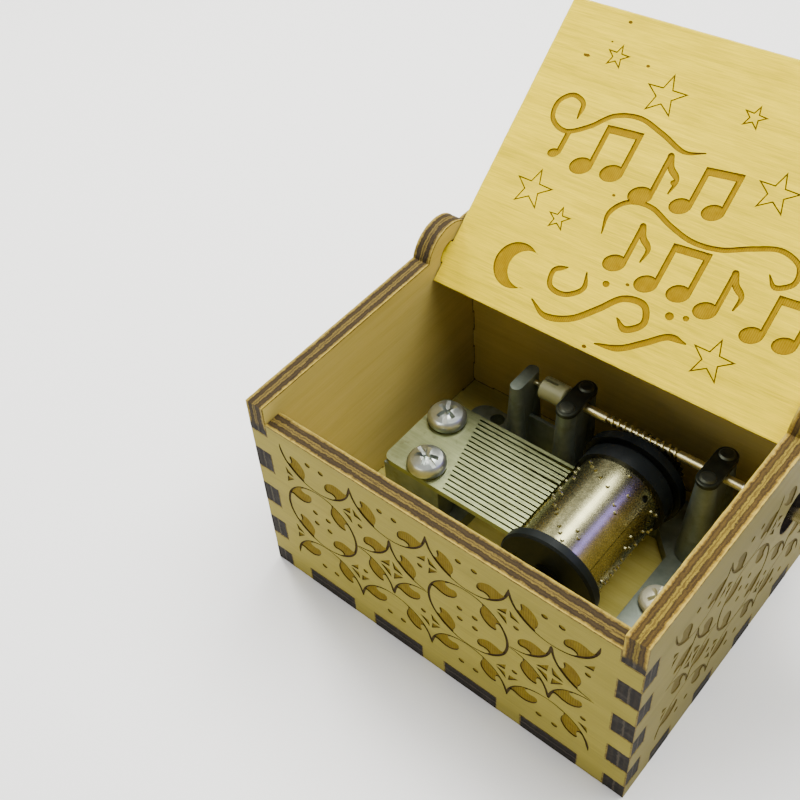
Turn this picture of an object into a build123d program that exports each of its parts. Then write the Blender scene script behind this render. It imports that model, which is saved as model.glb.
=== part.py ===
from build123d import *
import math
import os

# Hand-cranked cylinder music movement in a finger-jointed plywood case.
# Working frame while modelling: x right along the front wall, y to the back,
# z up, origin at the case's front-left-bottom corner.  Everything is moved at
# the end so that the origin is the centre of the bottom face.
W, D, T = 64.0, 52.0, 3.2            # case width, depth, plywood thickness
H_SIDE = 38.0                        # top of the side walls
H_FRONT = 34.75                      # top of the front wall (lid closes on it)
H_BACK = 39.0                        # top of the back wall (stops the open lid)
FINGERS = [3.2, 7.35, 11.5, 15.65, 19.8, 23.95, 28.1, 32.25]
HY, HZ = 43.2, 36.4                  # lid hinge axis (y, z)
EAR_R = 5.7
HINGE_R = 2.45
LID_OPEN = 139.75                    # photographed opening angle
LID_X0, LID_X1 = 3.4, 60.6
LID_FRONT, LID_TAIL = 0.1, 48.1      # closed lid, front and rear edges
TAB_W = 3.5
FB_TABS = [(7.44, 16.54), (20.78, 29.88), (34.12, 43.22), (47.46, 56.56)]
S_TABS = [(6.55, 11.55), (17.85, 22.85), (29.15, 34.15), (40.45, 45.45)]
CRANK_HOLE_R = 3.7

# movement
BASE_TOP = 6.2
SY, SZ = 39.4, 22.0                  # worm shaft axis
SHAFT_R = 0.72
HOLE_Z = 22.4                        # the crank hole sits a little above the shaft
CX, CZ = 41.6, 15.6                  # cylinder axis
SLEEVE_R, SLEEVE_IN = 6.7, 6.2
SLEEVE_Y0, SLEEVE_Y1 = 15.45, 32.8
CAP_R = 7.85
CAP_Y0 = 13.85
FLANGE_R, DISC_R = 7.45, 8.2
TEETH = 35
PITCH_R = 5.75                       # wheel pitch radius
WORM_PR = SZ - CZ - PITCH_R          # worm pitch radius 0.65
PITCH = 2 * math.pi * PITCH_R / TEETH
WORM_TURNS = 10.75
COMB_Z0, COMB_Z1 = 16.2, 17.2
COMB_X0, COMB_TIP = 9.9, 34.45
COMB_Y0, COMB_Y1 = 16.25, 32.1
N_TEETH, SLOT_W = 18, 0.29
SCREWS = [(13.3, 28.3), (16.5, 19.1)]
BASE_SCREWS = [(53.3, 25.5)]         # the other ear's hole is left empty
EAR_HOLE = (13.9, 41.0)
BRACKETS = [(30.0, (36.15, 41.4)), (52.75, (36.5, 41.8))]   # x and pillar y of the two shaft brackets
CAP_Z0, CAP_Z1 = 23.2, 23.95
POST_X, POST_TOP = 21.1, 23.6        # end post of the worm shaft

# crank
ARM_X, ARM_L, ARM_ANG = 70.6, 12.17, 153.89
KNOB_X0, KNOB_X1, KNOB_R = 73.2, 84.2, 5.2
WIRE_R = 1.0

OUT = "parts"
os.makedirs(OUT, exist_ok=True)


def box(x0, x1, y0, y1, z0, z1):
    return Pos((x0 + x1) / 2, (y0 + y1) / 2, (z0 + z1) / 2) * Box(x1 - x0, y1 - y0, z1 - z0)


def cyl_x(x0, x1, y, z, r):
    return Pos((x0 + x1) / 2, y, z) * Rotation(0, 90, 0) * Cylinder(r, x1 - x0)


def cyl_y(y0, y1, x, z, r):
    return Pos(x, (y0 + y1) / 2, z) * Rotation(90, 0, 0) * Cylinder(r, y1 - y0)


def cyl_z(z0, z1, x, y, r):
    return Pos(x, y, (z0 + z1) / 2) * Cylinder(r, z1 - z0)


def cone_z(z0, z1, x, y, r0, r1):
    return Pos(x, y, (z0 + z1) / 2) * Cone(r0, r1, z1 - z0)


def prism_z(points, z0, z1):
    return Pos(0, 0, z0) * extrude(make_face(Polyline(*points, close=True)), amount=z1 - z0)


def stadium_z(x, ya, yb, r, z0, z1):
    s = box(x - r, x + r, ya, yb, z0, z1)
    return s + cyl_z(z0, z1, x, ya, r) + cyl_z(z0, z1, x, yb, r)


def bands(first, top):
    e = [0.0] + FINGERS + [top]
    return [(e[i], e[i + 1]) for i in range(first, len(e) - 1, 2)]


def save(name, solid):
    solid = Pos(-W / 2, -D / 2, 0) * solid
    export_step(solid, os.path.join(OUT, name + ".step"))
    print(name, round(solid.volume, 2))


# ---------------------------------------------------------------- case
def end_wall(y0, top):
    s = box(T, W - T, y0, y0 + T, 0, top)
    for z0, z1 in bands(1, H_SIDE):
        s += box(0, T, y0, y0 + T, z0, z1) + box(W - T, W, y0, y0 + T, z0, z1)
    for x0, x1 in FB_TABS:
        s -= box(x0, x1, y0 - 1, y0 + T + 1, -1, T)
    return s


save("front_wall", end_wall(0, H_FRONT))
save("back_wall", end_wall(D - T, H_BACK))


def side_wall(x0):
    s = box(x0, x0 + T, 0, D, 0, H_SIDE)
    s += cyl_x(x0, x0 + T, HY, HZ, EAR_R)
    for z0, z1 in bands(1, H_SIDE):
        s -= box(x0 - 1, x0 + T + 1, -1, T, z0, z1)
        s -= box(x0 - 1, x0 + T + 1, D - T, D + 1, z0, z1)
    for y0, y1 in S_TABS:
        s -= box(x0 - 1, x0 + T + 1, y0, y1, -1, T)
    s -= cyl_x(x0 - 1, x0 + T + 1, HY, HZ, HINGE_R)
    return s


save("left_side", side_wall(0))
save("right_side", side_wall(W - T) - cyl_x(W - T - 1, W + 1, SY, HOLE_Z, CRANK_HOLE_R))

floor = box(T, W - T, T, D - T, 0, T)
for a, b in FB_TABS:
    floor += box(a, b, 0, D, 0, T)
for a, b in S_TABS:
    floor += box(0, W, a, b, 0, T)
for x, y in BASE_SCREWS:
    floor -= cyl_z(0.8, T + 1, x, y, 1.3)
save("floor_panel", floor)

lid = box(LID_X0, LID_X1, LID_FRONT, LID_TAIL, HZ - T / 2, HZ + T / 2)
lid += box(0.1, W - 0.1, HY - TAB_W / 2, HY + TAB_W / 2, HZ - T / 2, HZ + T / 2)
lid = Pos(0, HY, HZ) * Rotation(-LID_OPEN, 0, 0) * Pos(0, -HY, -HZ) * lid
save("lid", lid)

# ---------------------------------------------------------------- movement base
base = prism_z([(9.6, 10.6), (57.0, 10.6), (57.0, 44.6), (20.0, 44.6), (20.0, 41.0),
                (16.0, 37.0), (9.6, 36.0)], T, BASE_TOP)
base -= prism_z([(21.9, 15.8), (50.1, 15.8), (50.1, 33.6), (46.5, 37.4), (21.9, 37.4)], T - 1, BASE_TOP + 1)
base += cyl_z(T, BASE_TOP, 11.9, 40.2, 2.8) + cyl_z(T, BASE_TOP, 14.6, 40.2, 2.8)
base += prism_z([(9.1, 35.9), (17.4, 38.0), (17.4, 40.2), (14.6, 43.0), (11.9, 43.0), (11.9, 40.2), (9.1, 40.2)],
                T, BASE_TOP)
base += prism_z([(COMB_X0 + 0.3, COMB_Y0), (20.7, COMB_Y0), (16.8, COMB_Y1 - 0.1),
                 (COMB_X0 + 0.3, COMB_Y1 - 0.1)], BASE_TOP, COMB_Z0)
# end post, low web and the two shaft brackets
for py in (35.9, 40.1):
    base += cone_z(BASE_TOP, POST_TOP, POST_X, py, 1.95, 1.0)
base += prism_z([(POST_X - 1.0, 35.9), (POST_X + 1.0, 35.9), (POST_X + 1.0, 40.1), (POST_X - 1.0, 40.1)],
                BASE_TOP, POST_TOP)
base += box(POST_X, BRACKETS[0][0], 38.1, 38.75, BASE_TOP, 15.3)
for (px, pys), rb in zip(BRACKETS, (2.1, 2.6)):
    for py in pys:
        base += cone_z(BASE_TOP, CAP_Z0, px, py, rb, 1.5)
    base += box(px - 1.35, px + 1.35, pys[0], pys[1], BASE_TOP, CAP_Z0)
# cylinder bearings: front pillar and rear pillar
base += box(CX - 1.9, CX + 1.9, 10.8, 13.3, BASE_TOP, CZ) + cyl_y(10.8, 13.3, CX, CZ, 1.9)
base += box(CX - 2.2, CX + 2.2, 41.4, 43.6, BASE_TOP, CZ) + cyl_y(41.4, 43.6, CX, CZ, 2.2)
# bores
base -= cyl_x(24.0, 60, SY, SZ, SHAFT_R + 0.06)
base -= cyl_x(20.6, 24, SY, SZ, 0.46)
base -= cyl_y(10, 45, CX, CZ, 0.86)
base -= cyl_z(T - 1, BASE_TOP + 1, *EAR_HOLE, 1.28)
for x, y in SCREWS:
    base -= cyl_z(COMB_Z0 - 6.6, COMB_Z0 + 1, x, y, 1.5)
for x, y in BASE_SCREWS:
    base -= cyl_z(T - 1, BASE_TOP + 1, x, y, 1.6)
for px, pys in BRACKETS:
    for py in pys:
        base -= cyl_z(CAP_Z0 - 2.6, CAP_Z0 + 1, px, py, 0.9)
save("movement_base", base)

# ---------------------------------------------------------------- comb
comb = prism_z([(COMB_X0, COMB_Y0), (COMB_TIP, COMB_Y0), (COMB_TIP, COMB_Y1), (COMB_X0, COMB_Y1)],
               COMB_Z0, COMB_Z1)
comb = fillet(comb.edges().filter_by(Axis.Z).group_by(Axis.X)[0], 1.6)
step = (COMB_Y1 - COMB_Y0 + SLOT_W) / N_TEETH
for i in range(1, N_TEETH):
    y = COMB_Y0 + i * step - SLOT_W
    x0 = 21.3 + (17.3 - 21.3) * (i - 0.5) / (N_TEETH - 1)
    comb -= box(x0, COMB_TIP + 1, y, y + SLOT_W, COMB_Z0 - 1, COMB_Z1 + 1)
# two gaps that widen to the tip, where the teeth beside them were filed for tuning
for i, xs, d in ((17, 22.0, 0.20), (13, 24.0, 0.15)):
    y = COMB_Y0 + i * step - SLOT_W
    comb -= prism_z([(xs, y + 0.05), (COMB_TIP + 1, y - d), (COMB_TIP + 1, y + SLOT_W + d * 0.6),
                     (xs, y + SLOT_W - 0.05)], COMB_Z0 - 1, COMB_Z1 + 1)
for x, y in SCREWS:
    comb -= cyl_z(COMB_Z0 - 1, COMB_Z1 + 1, x, y, 1.55)
save("comb", comb)


def pan_screw(x, y, z, head_r, head_h, shank_r, length, ang):
    # turned pan head: barrel side, rounded shoulder, low crown; cross recess and a slot over it
    r, h = head_r, head_h
    prof = Polyline((0, 0), (r * 0.93, 0), (r * 0.985, h * 0.14))
    prof += ThreePointArc((r * 0.985, h * 0.14), (r * 0.975, h * 0.48), (r * 0.80, h * 0.79))
    prof += ThreePointArc((r * 0.80, h * 0.79), (r * 0.45, h * 0.955), (0, h))
    prof += Line((0, h), (0, 0))
    head = revolve(Plane.XZ * make_face(prof), Axis.Z)
    head -= Pos(0, 0, h) * Box(2 * r + 1, r * 0.22, 0.9)
    arm = loft([Pos(0, 0, h + 0.1) * Rectangle(r * 1.35, r * 0.24), Pos(0, 0, h - 1.35) * Rectangle(r * 0.5, r * 0.18)])
    head -= Rotation(0, 0, 45) * arm
    head -= Rotation(0, 0, -45) * arm
    s = head + Pos(0, 0, -length / 2) * Cylinder(shank_r, length)
    return Pos(x, y, z) * Rotation(0, 0, ang) * s


save("comb_screws", Compound([pan_screw(x, y, COMB_Z1, 3.15, 2.25, 1.3, 6.5, a).solid()
                              for (x, y), a in zip(SCREWS, (-62, -22))]))
save("base_screws", Compound([pan_screw(x, y, BASE_TOP, 2.65, 1.9, 1.2, 5.0, a).solid()
                              for (x, y), a in zip(BASE_SCREWS, (100,))]))

# ---------------------------------------------------------------- cylinder
sleeve = cyl_y(SLEEVE_Y0, SLEEVE_Y1, CX, CZ, SLEEVE_R) - cyl_y(SLEEVE_Y0 - 1, SLEEVE_Y1 + 1, CX, CZ, SLEEVE_IN)
seam = math.radians(35.0)
slit = Pos(CX, 0, CZ) * Rotation(0, -math.degrees(seam), 0) * Pos(SLEEVE_R, 24, 0) * Box(2.0, 30, 0.1)
sleeve -= slit
ha = math.radians(41.5)
sleeve -= Pos(CX, 0, CZ) * Rotation(0, -math.degrees(ha), 0) * Pos(SLEEVE_R, 31.0, 0) * Rotation(0, 90, 0) * Cylinder(0.55, 2.0)
rows = [COMB_Y0 + (i + 0.5) * step - SLOT_W / 2 for i in range(N_TEETH)]
# raised dots as (tooth row, angle); the upper side as seen, the rest continues the tune
PINS = [(17, 132.0), (16, 123.9), (15, 112.6), (14, 100.6), (13, 85.9), (17, 73.1), (14, 59.1), (11, 65.0),
        (10, 58.2), (15, 150.0), (16, 150.0), (13, 138.0), (11, 152.0), (10, 145.6), (9, 135.1), (9, 152.0), (8,
        143.5), (6, 128.2), (5, 117.1), (4, 112.8), (2, 98.4), (1, 91.7), (0, 84.2), (3, 78.1), (2, 71.2), (16,
        21.8), (17, 9.8), (13, 8.7), (10, 20.6), (11, -0.1), (8, 14.8), (9, 8.3), (7, 2.3), (5, -1.5), (4,
        -2.2), (2, -3.1), (1, 8.6), (4, 196.0), (11, 334.0), (11, 259.0), (14, 286.0), (11, 310.0), (5, 187.0),
        (9, 322.0), (1, 286.0), (4, 271.0), (6, 355.0), (15, 250.0), (14, 181.0), (2, 232.0), (13, 319.0), (3,
        352.0), (9, 184.0), (13, 268.0), (1, 346.0), (5, 253.0), (17, 337.0), (6, 238.0), (14, 166.0), (3,
        199.0), (8, 208.0), (0, 274.0), (15, 268.0), (8, 238.0), (1, 181.0), (12, 196.0), (0, 346.0), (12,
        214.0), (15, 229.0), (16, 283.0), (1, 328.0), (6, 193.0), (12, 169.0), (16, 256.0), (4, 247.0), (16,
        211.0), (3, 316.0), (5, 292.0), (7, 199.0), (8, 298.0), (4, 340.0), (17, 298.0), (12, 268.0), (14,
        307.0), (7, 220.0), (7, 280.0), (10, 277.0), (6, 271.0), (16, 310.0), (15, 352.0), (1, 232.0), (3,
        241.0), (15, 205.0), (2, 268.0), (10, 232.0), (15, 331.0)]
dots = [Pos(CX, rows[r], CZ) * Rotation(0, -a, 0) * Pos(SLEEVE_R, 0, 0) * Rotation(0, 90, 0)
        * Cone(0.4, 0.22, 0.62) for r, a in PINS]
sleeve = sleeve + dots
save("cylinder_sleeve", sleeve)
print("dots", len(PINS))

cap = cyl_y(CAP_Y0, SLEEVE_Y0, CX, CZ, CAP_R)
cap = chamfer(cap.edges().filter_by(GeomType.CIRCLE).group_by(Axis.Y)[0], 0.35)
cap += cyl_y(SLEEVE_Y0 - 0.2, 19.5, CX, CZ, SLEEVE_IN - 0.05)
cap -= cyl_y(13, CAP_Y0 + 0.25, CX, CZ, 5.4) - cyl_y(12, 16, CX, CZ, 2.2)
cap -= cyl_y(13, 21, CX, CZ, 0.8)
save("cylinder_cap", cap)

wheel = cyl_y(SLEEVE_Y1, 35.3, CX, CZ, FLANGE_R) + cyl_y(29.8, SLEEVE_Y1 + 0.2, CX, CZ, SLEEVE_IN - 0.05)
wheel += cyl_y(35.2, 36.1, CX, CZ, 6.9) + cyl_y(36.0, 37.5, CX, CZ, DISC_R)
ROOT_R, TIP_R = PITCH_R - 0.3, PITCH_R + 0.17
GY0, GY1 = 37.5, 40.9
wheel += cyl_y(GY0 - 0.2, GY1, CX, CZ, ROOT_R)
lead = math.atan(PITCH / (2 * math.pi * WORM_PR))
tp = 2 * math.pi / TEETH


def tooth_face(y, ang):
    pts = []
    for r, w in ((ROOT_R - 0.15, 0.33), (PITCH_R, 0.215), (TIP_R, 0.12)):
        pts.append((r, ang + w * tp))
    for r, w in ((TIP_R, 0.12), (PITCH_R, 0.215), (ROOT_R - 0.15, 0.33)):
        pts.append((r, ang - w * tp))
    return make_face(Polyline(*[Vector(CX + r * math.cos(a), y, CZ + r * math.sin(a)) for r, a in pts], close=True))


# the gap between two teeth sits at the top, under the worm
mid = (GY0 + GY1) / 2 - SY
# over dy the tooth leans with the thread: right-hand worm, x shift = -tan(lead)*dy below the axis
dx = math.tan(lead)


def tooth(k):
    a0 = math.pi / 2 + (k + 0.5) * tp
    f0 = tooth_face(GY0 - 0.1, a0 - dx * (GY0 - 0.1 - SY) / PITCH_R)
    f1 = tooth_face(GY1, a0 - dx * (GY1 - SY) / PITCH_R)
    return loft([f0, f1], ruled=True)


wheel = wheel + [tooth(k) for k in range(TEETH)]
wheel -= cyl_y(28, 43, CX, CZ, 0.8)
save("drive_wheel", wheel)

arbor = cyl_y(11.4, 43.2, CX, CZ, 0.8)
save("cylinder_arbor", arbor)

# ---------------------------------------------------------------- worm shaft
shaft = cyl_x(23.6, 59.0, SY, SZ, SHAFT_R) + cyl_x(20.75, 23.7, SY, SZ, 0.4)
shaft += Pos(23.2, SY, SZ) * Rotation(0, 90, 0) * Cone(0.4, SHAFT_R, 0.8)
X_S = CX - 6 * PITCH
core_r = 0.42
worm_len = WORM_TURNS * PITCH
helix = Helix(pitch=PITCH, height=worm_len, radius=core_r)
o = helix @ 0
h1, h2, zr = 0.33 * PITCH, 0.13 * PITCH, 0.78
sec = make_face(Polyline(Vector(core_r - 0.12, 0, -h1), Vector(zr, 0, -h2), Vector(zr, 0, h2),
                         Vector(core_r - 0.12, 0, h1), close=True))
thread = sweep(sec, path=helix, is_frenet=True)
thread = Pos(X_S, SY, SZ) * Rotation(0, 90, 0) * thread
shaft -= (cyl_x(X_S - 0.35, X_S + worm_len + 0.35, SY, SZ, 2) - cyl_x(X_S - 2, X_S + worm_len + 2, SY, SZ, core_r))
shaft += thread
save("worm_shaft", shaft)

collar = cyl_x(23.75, 27.9, SY, SZ, 1.85)
collar = chamfer(collar.edges().filter_by(GeomType.CIRCLE), 0.15)
collar -= box(23, 26.3, SY - 0.25, SY + 0.25, SZ + 0.9, SZ + 3)
collar -= cyl_x(23, 28, SY, SZ, SHAFT_R)
save("shaft_collar", collar)

for name, (px, pys) in zip(("bearing_cap_left", "bearing_cap_right"), BRACKETS):
    plate = stadium_z(px, pys[0], pys[1], 1.65, CAP_Z0, CAP_Z1)
    plate = chamfer(plate.edges().group_by(Axis.Z)[-1], 0.12)
    for py in pys:
        plate -= cyl_z(CAP_Z0 - 1, CAP_Z1 + 1, px, py, 0.9)
    save(name, plate)
riv = []
for px, pys in BRACKETS:
    for py in pys:
        head = cyl_z(CAP_Z1, CAP_Z1 + 0.35, px, py, 1.2)
        head = chamfer(head.edges().filter_by(GeomType.CIRCLE).group_by(Axis.Z)[-1], 0.25)
        riv.append((head + cyl_z(CAP_Z0 - 2.4, CAP_Z1 + 0.1, px, py, 0.8)).solid())
save("cap_rivets", Compound(riv))

# ---------------------------------------------------------------- crank
ca, sa = math.cos(math.radians(ARM_ANG)), math.sin(math.radians(ARM_ANG))
KY, KZ = SY + ARM_L * ca, SZ + ARM_L * sa
WIRE_END = KNOB_X1 + 0.85
path = FilletPolyline((57.0, SY, SZ), (ARM_X, SY, SZ), (ARM_X, KY, KZ), (WIRE_END, KY, KZ), radius=2.2)
prof = Plane(origin=(57.0, SY, SZ), z_dir=(1, 0, 0)) * Circle(WIRE_R)
wire = sweep(prof, path=path)
wire += cyl_x(56.9, 61.5, SY, SZ, 1.45)
wire -= cyl_x(56.0, 59.0, SY, SZ, SHAFT_R)
# crimped shoulder that keeps the knob off the bend
wire += Pos(0, 0, 0) * cyl_x(KNOB_X0 - 0.75, KNOB_X0 - 0.15, KY, KZ, 1.5)
save("crank_wire", wire)

knob = cyl_x(KNOB_X0, KNOB_X1, KY, KZ, KNOB_R)
knob = fillet(knob.edges().filter_by(GeomType.CIRCLE), 1.4)
knob -= cyl_x(KNOB_X0 - 1, KNOB_X1 + 1, KY, KZ, WIRE_R + 0.06)
save("crank_knob", knob)

ret = cyl_x(KNOB_X1 + 0.1, KNOB_X1 + 0.85, KY, KZ, 1.9)
ret = chamfer(ret.edges().filter_by(GeomType.CIRCLE).group_by(Axis.X)[-1], 0.25)
ret -= cyl_x(KNOB_X0, KNOB_X1 + 2, KY, KZ, WIRE_R)
save("knob_rivet", ret)
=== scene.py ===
import math
import bpy
import bmesh
import numpy as np
from mathutils import Vector, Matrix, noise
from mathutils.geometry import delaunay_2d_cdt


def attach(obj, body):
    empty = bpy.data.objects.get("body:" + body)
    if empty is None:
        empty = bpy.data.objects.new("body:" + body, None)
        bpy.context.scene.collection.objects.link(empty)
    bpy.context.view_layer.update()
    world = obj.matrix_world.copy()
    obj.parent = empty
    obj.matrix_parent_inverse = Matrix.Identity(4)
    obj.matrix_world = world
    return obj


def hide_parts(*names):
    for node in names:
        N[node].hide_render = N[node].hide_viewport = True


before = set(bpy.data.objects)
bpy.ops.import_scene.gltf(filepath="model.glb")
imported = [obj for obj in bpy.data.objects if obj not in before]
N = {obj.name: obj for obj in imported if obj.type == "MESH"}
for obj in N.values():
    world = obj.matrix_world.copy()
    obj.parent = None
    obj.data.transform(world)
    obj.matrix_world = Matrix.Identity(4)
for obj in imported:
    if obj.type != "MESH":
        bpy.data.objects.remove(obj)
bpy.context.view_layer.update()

scene = bpy.context.scene
COL = scene.collection

# ------------------------------------------------------------------ dimensions (mm, case corner at the origin)
W, D, T = 64.0, 52.0, 3.2
H_SIDE, H_FRONT, H_BACK = 38.0, 34.75, 39.0
FINGERS = [3.2, 7.35, 11.5, 15.65, 19.8, 23.95, 28.1, 32.25]
HY, HZ, EAR_R, HINGE_R = 43.2, 36.4, 5.7, 2.45
LID_OPEN = 139.75
FB_TABS = [(7.44, 16.54), (20.78, 29.88), (34.12, 43.22), (47.46, 56.56)]
S_TABS = [(6.55, 11.55), (17.85, 22.85), (29.15, 34.15), (40.45, 45.45)]
SY, SZ, CRANK_R = 39.4, 22.4, 3.7
CX, CZ = 41.6, 15.6


def P(x, y, z):
    return Vector(((x - W / 2) / 1000, (y - D / 2) / 1000, z / 1000))


# ------------------------------------------------------------------ shader helpers
class NB:
    def __init__(self, name):
        self.m = bpy.data.materials.new(name)
        self.m.use_nodes = True
        self.t = self.m.node_tree
        self.t.nodes.clear()
        self.out = self.t.nodes.new("ShaderNodeOutputMaterial")
        self.b = self.t.nodes.new("ShaderNodeBsdfPrincipled")
        self.t.links.new(self.b.outputs[0], self.out.inputs[0])

    def n(self, kind, **props):
        o = self.t.nodes.new(kind)
        for k, v in props.items():
            setattr(o, k, v)
        return o

    def l(self, a, b):
        self.t.links.new(a, b)

    def math(self, op, a, b=None, c=None, clamp=False):
        o = self.n("ShaderNodeMath", operation=op, use_clamp=clamp)
        for i, v in enumerate((a, b, c)):
            if v is None:
                continue
            if isinstance(v, (int, float)):
                o.inputs[i].default_value = v
            else:
                self.l(v, o.inputs[i])
        return o.outputs[0]

    def coords(self, attr=None, scale=(1, 1, 1), loc=(0, 0, 0), rot=(0, 0, 0)):
        mp = self.n("ShaderNodeMapping")
        mp.inputs["Scale"].default_value = scale
        mp.inputs["Location"].default_value = loc
        mp.inputs["Rotation"].default_value = rot
        if attr:
            a = self.n("ShaderNodeAttribute", attribute_name=attr)
            self.l(a.outputs["Vector"], mp.inputs["Vector"])
        else:
            a = self.n("ShaderNodeTexCoord")
            self.l(a.outputs["Object"], mp.inputs["Vector"])
        return mp.outputs[0]

    def noise(self, vec, scale, detail=4, rough=0.55, dist=0.0):
        o = self.n("ShaderNodeTexNoise")
        o.inputs["Scale"].default_value = scale
        o.inputs["Detail"].default_value = detail
        o.inputs["Roughness"].default_value = rough
        o.inputs["Distortion"].default_value = dist
        self.l(vec, o.inputs["Vector"])
        return o.outputs["Fac"]

    def ramp(self, fac, stops, interp="LINEAR"):
        o = self.n("ShaderNodeValToRGB")
        cr = o.color_ramp
        cr.interpolation = interp
        while len(cr.elements) < len(stops):
            cr.elements.new(0.5)
        for e, (p, c) in zip(cr.elements, stops):
            e.position = p
            e.color = (*c, 1) if len(c) == 3 else c
        self.l(fac, o.inputs[0])
        return o.outputs[0]

    def mix(self, fac, a, b, mode="MIX"):
        o = self.n("ShaderNodeMix", data_type="RGBA", blend_type=mode)
        o.inputs[0].default_value = fac if isinstance(fac, (int, float)) else 0
        if not isinstance(fac, (int, float)):
            self.l(fac, o.inputs[0])
        for i, v in ((6, a), (7, b)):
            if isinstance(v, tuple):
                o.inputs[i].default_value = (*v, 1)
            else:
                self.l(v, o.inputs[i])
        return o.outputs[2]

    def bump(self, h, strength, dist=0.0001, normal=None):
        o = self.n("ShaderNodeBump")
        o.inputs["Strength"].default_value = strength
        o.inputs["Distance"].default_value = dist
        self.l(h, o.inputs["Height"])
        if normal is not None:
            self.l(normal, o.inputs["Normal"])
        self.l(o.outputs[0], self.b.inputs["Normal"])
        return o.outputs[0]

    def set(self, **kw):
        names = {"color": "Base Color", "rough": "Roughness", "metal": "Metallic", "spec": "Specular IOR Level",
                 "coat": "Coat Weight", "coat_rough": "Coat Roughness", "sheen": "Sheen Weight",
                 "aniso": "Anisotropic", "ior": "IOR", "subsurf": "Subsurface Weight"}
        for k, v in kw.items():
            s = self.b.inputs[names[k]]
            if isinstance(v, (int, float)):
                s.default_value = v
            elif isinstance(v, tuple):
                s.default_value = (*v, 1) if len(v) == 3 else v
            else:
                self.l(v, s)
        return self


def lin(r, g, b):
    f = lambda c: (c / 255 / 12.92) if c / 255 <= 0.04045 else ((c / 255 + 0.055) / 1.055) ** 2.4
    return (f(r), f(g), f(b))


# ------------------------------------------------------------------ plywood materials
def ply_face(name, c_lo, c_mid, c_hi, seed, grain="u", bumpy=0.25, pore=0.22, spec=0.14, fine_w=0.0):
    m = NB(name)
    sc = (0.045, 1.0, 1.0) if grain == "u" else (1.0, 0.045, 1.0)
    fine = m.noise(m.coords("puv", sc, (seed, seed * 0.7, 0)), 3.2, 6, 0.65, 0.3)
    sc2 = (0.02, 0.35, 1.0) if grain == "u" else (0.35, 0.02, 1.0)
    wide = m.noise(m.coords("puv", sc2, (seed * 2, seed, 0)), 1.2, 3, 0.5, 0.6)
    blot = m.noise(m.coords("puv", (0.06, 0.06, 0.06), (seed, 3, 1)), 1.0, 2, 0.5)
    mixv = m.math("ADD", m.math("MULTIPLY", fine, 0.45), m.math("MULTIPLY", wide, 0.35))
    mixv = m.math("ADD", mixv, m.math("MULTIPLY", blot, 0.2))
    if fine_w:
        sc4 = (0.10, 2.6, 1.0) if grain == "u" else (2.6, 0.10, 1.0)
        hair = m.noise(m.coords("puv", sc4, (seed, 8, 0)), 2.4, 4, 0.7, 0.2)
        mixv = m.math("ADD", mixv, m.math("MULTIPLY", m.math("SUBTRACT", hair, 0.5), fine_w))
    col = m.ramp(mixv, [(0.36, c_lo), (0.5, c_mid), (0.66, c_hi)])
    # short darker pores along the grain
    sc3 = (0.35, 5.0, 1.0) if grain == "u" else (5.0, 0.35, 1.0)
    pores = m.noise(m.coords("puv", sc3, (seed * 3, 1, 0)), 1.6, 2, 0.5)
    pf = m.ramp(pores, [(0.66, (0, 0, 0)), (0.76, (1, 1, 1))])
    col = m.mix(m.math("MULTIPLY", pf, pore), col, tuple(c * 0.55 for c in c_mid))
    m.set(color=col, rough=m.math("ADD", m.math("MULTIPLY", fine, 0.2), 0.52), spec=spec)
    h = m.math("SUBTRACT", fine, m.math("MULTIPLY", pf, 0.35))
    m.bump(h, bumpy, 0.00005)
    return m.m


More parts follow.
